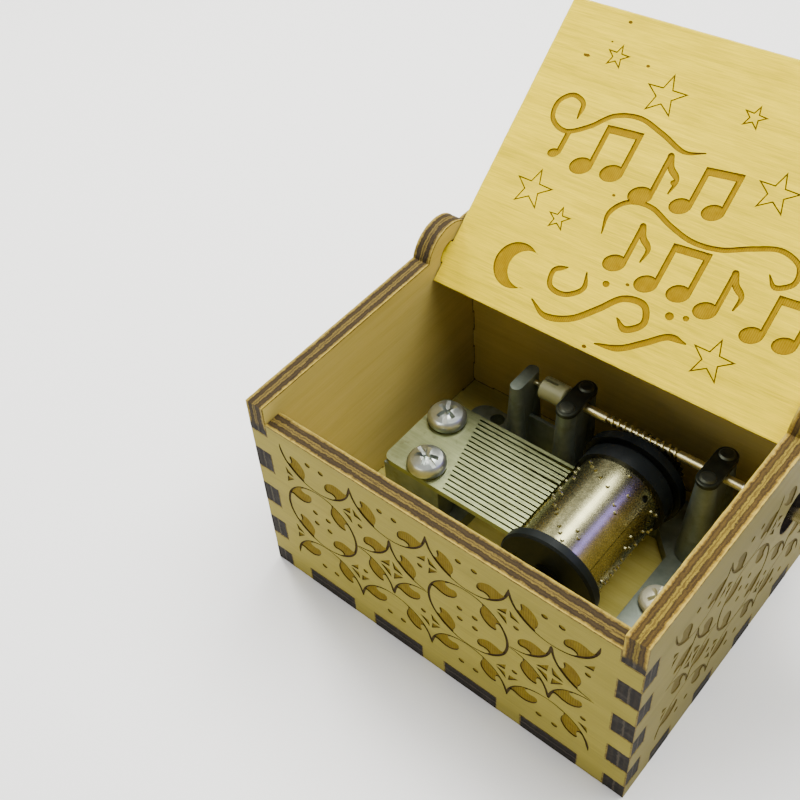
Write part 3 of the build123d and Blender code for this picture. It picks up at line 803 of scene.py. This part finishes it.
def lid_outside():
    """Generic border of blocks, corner fans and a petalled rosette.  u 3.4..60.6, v -4.9..43.1."""
    it = []
    x0, x1, y0, y1 = 7.0, 57.0, -1.3, 39.5

    def frame_line(ins, w, d=0.1):
        o = [(x0 + ins, y0 + ins), (x1 - ins, y0 + ins), (x1 - ins, y1 - ins), (x0 + ins, y1 - ins)]
        i = ins + w
        n = [(x0 + i, y0 + i), (x1 - i, y0 + i), (x1 - i, y1 - i), (x0 + i, y1 - i)]
        return item(o, [n], d)
    it.append(frame_line(0.0, 0.28))
    it.append(frame_line(3.3, 0.24))
    it.append(frame_line(4.6, 0.14, 0.08))

    def block(xa, xb, ya, yb):
        return item([(xa, ya), (xb, ya), (xb, yb), (xa, yb)], depth=0.1)
    w, g = 2.0, 0.62
    a, b = x0 + 3.6, x1 - 3.6
    nb = 9
    for k in range(nb):
        xa = a + (b - a) * k / nb + 0.25
        xb = a + (b - a) * (k + 1) / nb - 0.25
        it.append(block(xa, xb, y0 + g + 0.1, y0 + g + w))
        it.append(block(xa, xb, y1 - g - w, y1 - g - 0.1))
    a, b = y0 + 3.6, y1 - 3.6
    nb = 7
    for k in range(nb):
        ya = a + (b - a) * k / nb + 0.25
        yb = a + (b - a) * (k + 1) / nb - 0.25
        it.append(block(x0 + g + 0.1, x0 + g + w, ya, yb))
        it.append(block(x1 - g - w, x1 - g - 0.1, ya, yb))
    for sx, X in ((1, x0), (-1, x1)):
        for sy, Y in ((1, y0), (-1, y1)):
            it.append(item([(X + sx * 0.75, Y + sy * 0.45), (X + sx * 3.0, Y + sy * 2.7), (X + sx * 2.7, Y + sy * 3.0),
                            (X + sx * 0.45, Y + sy * 0.75)][::sx * sy], depth=0.1))
    cx, cy = (x0 + x1) / 2, (y0 + y1) / 2
    # dotted inner line
    for k in range(31):
        u = x0 + 6.0 + (x1 - x0 - 12.0) * k / 30
        it.append(dot(u, y0 + 5.7, 0.22))
        it.append(dot(u, y1 - 5.7, 0.22))
    for k in range(1, 23):
        v = y0 + 5.7 + (y1 - y0 - 11.4) * k / 23
        it.append(dot(x0 + 6.0, v, 0.22))
        it.append(dot(x1 - 6.0, v, 0.22))

    def petal(a, r0, r1, wd, c=(cx, cy)):
        pts = []
        for s in range(13):
            t = s / 12
            pts.append((r0 + (r1 - r0) * t, wd * math.sin(math.pi * t) ** 0.8))
        pts += [(p[0], -p[1]) for p in pts[-2:0:-1]]
        return item(xf(pts, a, 1.0, c), depth=0.1)
    # rosette
    it.append(item(circle(cx, cy, 0.9, 20), depth=0.1))
    it.append(item(circle(cx, cy, 2.05, 36), [circle(cx, cy, 1.8, 36)], 0.1))
    for k in range(8):
        it.append(petal(k * math.pi / 4 + math.pi / 8, 2.5, 6.2, 0.72))
        it.append(petal(k * math.pi / 4, 2.6, 4.6, 0.34))
    it.append(item(circle(cx, cy, 7.1, 60), [circle(cx, cy, 6.88, 60)], 0.1))
    for k in range(24):
        a = k * math.pi / 12
        it.append(dot(cx + 7.75 * math.cos(a), cy + 7.75 * math.sin(a), 0.2))
    for k in range(4):
        a = k * math.pi / 2
        it.append(petal(a, 8.6, 12.2 if k % 2 else 14.6, 0.85))
        for s in (-1, 1):
            it.append(petal(a + s * 0.2, 8.7, 11.2 if k % 2 else 12.6, 0.36))
    # four fans of ribs
    for sx in (-1, 1):
        for sy in (-1, 1):
            fc = (cx + sx * 10.6, cy + sy * 8.6)
            base = math.atan2(sy * 8.6, sx * 10.6)
            n = 11
            for k in range(n):
                a = base + math.radians(-100 + 200 * k / (n - 1))
                q = [(1.5, 0.10), (4.0, 0.36), (4.35, 0.0), (4.0, -0.36), (1.5, -0.10)]
                it.append(item(xf(q, a, 1.0, fc), depth=0.1))
            line = [(fc[0] + 4.95 * math.cos(base + math.radians(-112 + 224 * k / 30)),
                     fc[1] + 4.95 * math.sin(base + math.radians(-112 + 224 * k / 30))) for k in range(31)]
            it.append(item(stroke(line, lambda s: 0.11), depth=0.1))
            it.append(item(circle(fc[0], fc[1], 0.85, 18), depth=0.1))
    return it


# ------------------------------------------------------------------ outlines
def end_outline(top):
    L = [(3.2, 0.0), (3.2, 3.2), (0, 3.2), (0, 7.35), (3.2, 7.35), (3.2, 11.5), (0, 11.5), (0, 15.65), (3.2, 15.65),
         (3.2, 19.8), (0, 19.8), (0, 23.95), (3.2, 23.95), (3.2, 28.1), (0, 28.1), (0, 32.25), (3.2, 32.25), (3.2, top)]
    R = [(W - x, z) for x, z in L]
    pts = [(60.8, 0.0)]
    bottom = [(3.2, 0.0)]
    for a, b in FB_TABS:
        bottom += [(a, 0), (a, 3.2), (b, 3.2), (b, 0)]
    return bottom + R + L[::-1][:-1]


def side_outline():
    """u from the front (0) to the back (52), CCW."""
    bottom = [(0.0, 0.0)]
    for a, b in S_TABS:
        bottom += [(a, 0), (a, 3.2), (b, 3.2), (b, 0)]
    bottom.append((D, 0.0))
    z = [3.2, 7.35, 11.5, 15.65, 19.8, 23.95, 28.1, 32.25]
    R = []
    for i in range(0, 8, 2):
        R += [(D, z[i]), (D - T, z[i]), (D - T, z[i + 1]), (D, z[i + 1])]
    R.append((D, H_SIDE))
    a0 = math.asin((H_SIDE - HZ) / EAR_R)
    ear = [(HY + EAR_R * math.cos(a0 + (math.pi - 2 * a0) * i / 22), HZ + EAR_R * math.sin(a0 + (math.pi - 2 * a0) * i / 22))
           for i in range(23)]
    L = [(D - x, zz) for x, zz in R][::-1]
    return bottom + R + ear + L


FRONT_OUT = end_outline(H_FRONT)
BACK_OUT = end_outline(H_BACK)
SIDE_OUT = side_outline()

def tri(c, d=0.16, sat=0.06):
    """Darker, middle and lighter tone round a colour."""
    return (tuple(x * (1 - d) * (1 - sat * (i == 2) * 2) for i, x in enumerate(c)), c,
            tuple(x * (1 + d) * (1 + sat * (i == 2) * 2) for i, x in enumerate(c)))


# painted shade: the outer front, back and side faces get a darker copy of the plywood colour than the lid, standing in
# for the key light that misses them
C_FACE_SHADED = tri((0.250, 0.205, 0.028))
C_SIDE_SHADED = tri((0.176, 0.145, 0.030))
C_LID = tri((0.700, 0.522, 0.0012), 0.24, 0.03)
C_INNER = tri((0.480, 0.380, 0.100), 0.11)
C_FLOOR = tri((0.390, 0.340, 0.080), 0.15)
M_face = ply_face("ply_face_front_shaded", *C_FACE_SHADED, 3.1, fine_w=0.3)
M_side = ply_face("ply_face_side_shaded", *C_SIDE_SHADED, 11.7)
M_sideL = ply_face("ply_face_left_shaded", *C_SIDE_SHADED, 23.9)
M_back = ply_face("ply_face_back_shaded", *C_FACE_SHADED, 17.3)
M_lid = ply_face("ply_face_lid", *C_LID, 5.3, bumpy=0.35, spec=0.02, fine_w=0.5)
M_floor = ply_face("ply_face_floor", *C_FLOOR, 8.8)
M_inner = ply_face("ply_face_inner", *C_INNER, 13.4, bumpy=0.2, pore=0.1)
M_lid_in = ply_face("ply_face_lid_inner", *C_LID, 6.1, bumpy=0.35, spec=0.02, fine_w=0.5)
M_edge = ply_edge("ply_cut_edge", seed=2.0)
M_edge2 = ply_edge("ply_cut_edge_lid", seed=9.0, gold=True)
M_edge_r = ply_edge("ply_cut_edge_right", seed=14.0, gold=True)
M_rim = ply_rim("ply_scorched_rim", 4.0, (0.070, 0.042, 0.010), (0.125, 0.086, 0.016), (0.225, 0.170, 0.028))
M_rim_lid = ply_rim("ply_scorched_rim_lid", 6.0, (0.40, 0.27, 0.010), (0.58, 0.43, 0.010), (0.67, 0.51, 0.012),
                    0.26, 0.42)
M_tan = engrave_floor("engraved_tan", 1.0, (0.138, 0.090, 0.006), (0.196, 0.138, 0.009), 0.36, 0.05)
M_tan_lid = engrave_floor("engraved_lid", 2.0, (0.265, 0.158, 0.0004), (0.350, 0.222, 0.0006), 0.3, 0.01)
M_tan_s = engrave_floor("engraved_tan_side", 3.0, (0.105, 0.078, 0.015), (0.150, 0.118, 0.023))
# engraving borders and walls: partly burnt wood, partly painted shade standing in for the shadow along the pocket edges
M_dark_s = engrave_dark_and_shade("engraved_dark_and_shade_side", (0.112, 0.083, 0.021))
M_dark = engrave_dark_and_shade("engraved_dark_and_shade", (0.048, 0.029, 0.007))
M_dark_lid = engrave_dark_and_shade("engraved_dark_and_shade_lid", (0.125, 0.062, 0.001))
MS_F = [M_face, M_edge, M_tan, M_rim, M_dark, M_inner]
MS_S = [M_side, M_edge_r, M_tan_s, M_rim, M_dark_s, M_inner]
MS_L = [M_sideL, M_edge, M_tan, M_rim, M_dark, M_inner]
MS_B = [M_back, M_edge, M_tan, M_rim, M_dark, M_inner]
MS_LID = [M_lid, M_edge2, M_tan_lid, M_rim_lid, M_dark_lid, M_lid_in]
MS_FL = [M_floor, M_edge, M_tan, M_rim, M_dark, M_floor]

front_pat = lattice([12.2, 38.5], [25.35, 51.6], 19.25, 5.4, 58.2)
front_pat = keep(front_pat, lambda x, z: 4.6 < x < 59.4 and 4.6 < z < 33.6)
side_pat = lattice([26.6], [13.4, 39.8], 19.1, 6.6, 46.6)


def clear_of_hole(x, z):
    return math.hypot(x - SY, z - SZ) > CRANK_R + 0.45 and 4.3 < x < 47.9 and 4.4 < z < 33.6


right_pat = keep(side_pat, clear_of_hole)
left_pat = keep(side_pat, lambda x, z: 4.3 < x < 47.9 and 4.4 < z < 33.6)

# per-edge weight for the cut-edge colour: 0 (golden) on the top edge, 1 (near black) on the finger ends
end_edge_dark = lambda top: (lambda u, v: 0.0 if v > top - 0.2 else 1.0)
panel("wood_front", FRONT_OUT, [], front_pat, [], lambda u, v, w: P(u, w, v), MS_F, "case", "front_wall",
      end_edge_dark(H_FRONT))
panel("wood_back", BACK_OUT, [], front_pat, [], lambda u, v, w: P(W - u, D - w, v), MS_B, "case", "back_wall",
      end_edge_dark(H_BACK))


def side_edge_dark(u, v):
    if math.hypot(u - HY, v - HZ) < HINGE_R + 0.1:
        return 0.7
    if v > 33.4:
        return 0.0
    return 1.0


hinge_hole = circle(HY, HZ, HINGE_R, 40, cw=True)
crank_hole = circle(SY, SZ, CRANK_R, 52, cw=True)
panel("wood_right", SIDE_OUT, [hinge_hole, crank_hole], right_pat, [], lambda u, v, w: P(W - w, u, v), MS_S, "case",
      "right_side", side_edge_dark)
mirror = lambda loop: [(D - x, y) for x, y in loop][::-1]
panel("wood_left", mirror(SIDE_OUT), [circle(D - HY, HZ, HINGE_R, 40, cw=True)],
      keep(left_pat, lambda x, z: True), [], lambda u, v, w: P(w, D - u, v), MS_L, "case", "left_side",
      lambda u, v: side_edge_dark(D - u, v))

floor_out = [(T, T)]
for a, b in FB_TABS:
    floor_out += [(a, T), (a, 0), (b, 0), (b, T)]
floor_out.append((W - T, T))
for a, b in S_TABS:
    floor_out += [(W - T, a), (W, a), (W, b), (W - T, b)]
floor_out.append((W - T, D - T))
for a, b in FB_TABS[::-1]:
    floor_out += [(b, D - T), (b, D), (a, D), (a, D - T)]
floor_out.append((T, D - T))
for a, b in S_TABS[::-1]:
    floor_out += [(T, b), (0, b), (0, a), (T, a)]
panel("wood_floor", floor_out, [], [], [], lambda u, v, w: P(u, v, w), MS_FL, "case", "floor_panel",
      lambda u, v: 1.0)

# lid: w=0 is the face that is outside when the lid is closed
TAB = 1.75
lid_out = [(3.4, -4.9), (60.6, -4.9), (60.6, -TAB), (63.9, -TAB), (63.9, TAB), (60.6, TAB), (60.6, 43.1), (3.4, 43.1),
           (3.4, TAB), (0.1, TAB), (0.1, -TAB), (3.4, -TAB)]
RL = Matrix.Rotation(math.radians(-LID_OPEN), 4, "X")
HP = P(0, HY, HZ)


def lid_fn(u, v, w):
    q = Vector(((u - W / 2) / 1000, -v / 1000, (1.6 - w) / 1000))
    q = RL @ q
    return Vector((q.x, q.y + HP.y, q.z + HP.z))


# cut-edge weight for the lid: 0.15 on the free edge, 0.45 on the long sides, 0.85 on the tabs, 1 on the edge beyond the
# hinge
def lid_edge_dark(u, v):
    if u < 3.3 or u > 60.7:
        return 0.85
    return 0.15 if v > 42.9 else (0.45 if -4 < v else 1.0)


panel("wood_lid", lid_out, [], lid_outside(), lid_inside(), lid_fn, MS_LID, "lid", "lid", lid_edge_dark,
      rough=0.04)


# ------------------------------------------------------------------ metal and plastic materials
def metal(name, c0, c1, rough, seed=0.0, scale=900.0, bump=0.15, metal=1.0, stretch=(1, 1, 1), streak=0.0,
          rough_var=0.12, grime=None):
    m = NB(name)
    v = m.noise(m.coords(None, stretch, (seed, seed, seed)), scale, 5, 0.6)
    big = m.noise(m.coords(None, (1, 1, 1), (seed, 0, 0)), scale * 0.18, 3, 0.5)
    col = m.ramp(m.math("ADD", m.math("MULTIPLY", v, 0.5), m.math("MULTIPLY", big, 0.5)), [(0.35, c0), (0.65, c1)])
    if grime:
        g = m.ramp(m.noise(m.coords(None, (1, 1, 1), (seed, 4, 2)), scale * 0.4, 4, 0.65),
                   [(0.56, (0, 0, 0)), (0.72, (1, 1, 1))])
        col = m.mix(m.math("MULTIPLY", g, 0.6), col, grime)
    m.set(color=col, metal=metal, rough=m.math("ADD", m.math("MULTIPLY", v, rough_var), rough - rough_var / 2))
    m.bump(v, bump, 0.00003)
    return m.m


def plastic(name, c0, c1, rough, seed=0.0, scale=1400.0, bump=0.12, spec=0.45, coat=0.0):
    m = NB(name)
    v = m.noise(m.coords(None, (1, 1, 1), (seed, seed, 0)), scale, 4, 0.6)
    big = m.noise(m.coords(None, (1, 1, 1), (seed, 0, 0)), scale * 0.1, 3, 0.5)
    m.set(color=m.ramp(big, [(0.35, c0), (0.65, c1)]), rough=m.math("ADD", m.math("MULTIPLY", v, 0.16), rough - 0.08),
          spec=spec)
    if coat:
        m.set(coat=coat, coat_rough=0.3)
    m.bump(v, bump, 0.00003)
    return m.m


M_zinc = metal("die_cast_zinc", (0.128, 0.154, 0.124), (0.212, 0.246, 0.198), 0.44, 1.0, 700, 0.3, 0.62,
               rough_var=0.18, grime=(0.105, 0.105, 0.058))
M_comb = metal("comb_steel", (0.170, 0.188, 0.088), (0.290, 0.318, 0.160), 0.36, 2.0, 1500, 0.2, 1.0, (0.12, 1.6, 1),
               0.0, 0.14, grime=(0.130, 0.128, 0.062))
M_screw = metal("screw_zinc_plate", (0.43, 0.47, 0.43), (0.64, 0.68, 0.62), 0.30, 3.0, 900, 0.1, 0.95)
M_bscrew = metal("screw_nickel", (0.60, 0.59, 0.42), (0.78, 0.76, 0.57), 0.40, 4.0, 900, 0.1, 0.6)
M_sleeve = metal("sleeve_nickel", (0.250, 0.238, 0.122), (0.380, 0.366, 0.198), 0.27, 5.0, 2600, 0.16, 1.0, (1, 1, 1),
                 0.0, 0.14)
M_arbor = metal("arbor_steel", (0.40, 0.39, 0.28), (0.58, 0.57, 0.42), 0.28, 6.0, 900, 0.1)
M_worm = metal("worm_nickel", (0.56, 0.50, 0.26), (0.76, 0.70, 0.40), 0.36, 7.0, 900, 0.1)
M_capd = metal("dark_plate", (0.030, 0.034, 0.024), (0.062, 0.068, 0.048), 0.40, 8.0, 800, 0.2, 0.85)
M_rivet = metal("rivet_grey", (0.042, 0.046, 0.033), (0.090, 0.096, 0.070), 0.42, 9.0, 900, 0.25, 0.85)
M_crank = metal("crank_nickel", (0.58, 0.54, 0.36), (0.76, 0.72, 0.52), 0.2, 10.0, 700, 0.08)
M_black = plastic("black_plastic", (0.0042, 0.0058, 0.0058), (0.0080, 0.0102, 0.0100), 0.42, 1.0, spec=0.08)
M_black2 = plastic("black_plastic_wheel", (0.0032, 0.0040, 0.0042), (0.0064, 0.0078, 0.0080), 0.30, 2.0, spec=0.22)
M_nylon = plastic("nylon", (0.300, 0.300, 0.140), (0.400, 0.398, 0.200), 0.45, 3.0)
M_knob = plastic("knob_brown", (0.085, 0.066, 0.024), (0.135, 0.108, 0.042), 0.5, 4.0, 900, 0.25)

CAD_MATS = {"movement_base": M_zinc, "comb": M_comb, "comb_screws": M_screw, "base_screws": M_bscrew,
            "cylinder_sleeve": M_sleeve, "cylinder_cap": M_black, "drive_wheel": M_black2, "cylinder_arbor": M_arbor,
            "worm_shaft": M_worm, "shaft_collar": M_nylon, "bearing_cap_left": M_capd, "bearing_cap_right": M_capd,
            "cap_rivets": M_rivet, "crank_wire": M_crank, "crank_knob": M_knob, "knob_rivet": M_crank}
for n, m in CAD_MATS.items():
    o = N[n]
    if not o.material_slots:
        o.data.materials.append(m)
    for s in o.material_slots:
        s.material = m

# ------------------------------------------------------------------ floor, light, camera
def plane(name, size, z, col):
    me = bpy.data.meshes.new(name)
    s = size
    me.from_pydata([(-s, -s, z), (s, -s, z), (s, s, z), (-s, s, z)], [], [(0, 1, 2, 3)])
    o = bpy.data.objects.new(name, me)
    COL.objects.link(o)
    m = NB(name + "_mat")
    m.set(color=col, rough=0.9, spec=0.1)
    me.materials.append(m.m)
    return o


plane("floor_stage", 3.0, 0.0, (0.93, 0.93, 0.93))

world = bpy.data.worlds.new("studio") if scene.world is None else scene.world
scene.world = world
world.use_nodes = True
bg = world.node_tree.nodes.get("Background") or world.node_tree.nodes.new("ShaderNodeBackground")
bg.inputs[0].default_value = (1.0, 1.0, 1.0, 1)
bg.inputs[1].default_value = 0.32


def area(name, loc, target, size, power, color=(1, 1, 1), size_y=None, along=None, diffuse=True, glossy=True):
    ld = bpy.data.lights.new(name, "AREA")
    ld.energy = power
    ld.color = color
    ld.size = size
    if size_y:
        ld.shape = "RECTANGLE"
        ld.size_y = size_y
    o = bpy.data.objects.new(name, ld)
    o.location = loc
    d = Vector(loc) - Vector(target)
    if along:
        zl = d.normalized()
        yl = Vector(along)
        yl = (yl - zl * yl.dot(zl)).normalized()
        xl = yl.cross(zl)
        o.rotation_euler = Matrix((xl, yl, zl)).transposed().to_euler()
    else:
        o.rotation_euler = (-d).to_track_quat("-Z", "Y").to_euler()
    o.visible_diffuse = diffuse
    o.visible_glossy = glossy
    COL.objects.link(o)
    return o


# the key's diffuse light and its broad and narrow reflections are set apart, as a studio does with flags
SL = Vector((0.0096, -0.002, 0.022))
area("key", (0.03, 0.14, 0.46), (0, 0, 0.02), 0.44, 6.6, (1.0, 0.99, 0.96), glossy=False)
area("key_sheen", (0.03, 0.14, 0.46), (0, 0, 0.02), 0.44, 0.72, (1.0, 0.99, 0.96), diffuse=False)
area("key_strip", SL + 0.5 * Vector((-0.165, 0.524, 0.836)), SL, 0.145, 1.95, (1.0, 0.99, 0.96), 0.30, (0, 1, 0),
     diffuse=False)
area("front_sheen", (-0.154, -0.283, 0.393), (0.003, 0.013, 0.022), 0.24, 0.95, (1.0, 0.99, 0.96), diffuse=False)
area("left", (-0.31, 0.10, 0.36), (0, 0, 0.02), 0.10, 1.7, (1.0, 0.98, 0.93))
area("front", (-0.36, -0.26, 0.12), (-0.03, -0.03, 0.02), 0.20, 1.1, (1.0, 0.98, 0.94))
area("cool_strip", SL + 0.5 * Vector((0.470, 0.524, 0.710)), SL, 0.080, 0.60, (0.24, 0.18, 1.0), 0.30, (0, 1, 0),
     diffuse=False)

cam_d = bpy.data.cameras.new("cam")
cam = bpy.data.objects.new("cam", cam_d)
COL.objects.link(cam)
F_PX, CX_PX, CY_PX = 1140.149, 290.168, 375.192
cam_d.sensor_width = 36.0
cam_d.sensor_fit = "AUTO"
cam_d.lens = F_PX / 800 * 36.0
cam_d.shift_x = (400 - CX_PX) / 800
cam_d.shift_y = (CY_PX - 400) / 800
cam_d.clip_start = 0.01
cam_d.clip_end = 20
RB = Matrix(((0.725188, -0.423847, 0.542638), (0.6772, 0.581551, -0.450776), (-0.124512, 0.694372, 0.708762)))
cam.rotation_mode = "QUATERNION"
cam.rotation_quaternion = RB.to_quaternion()
cam.location = P(90.7045, -66.3786, 153.9515)
scene.camera = cam
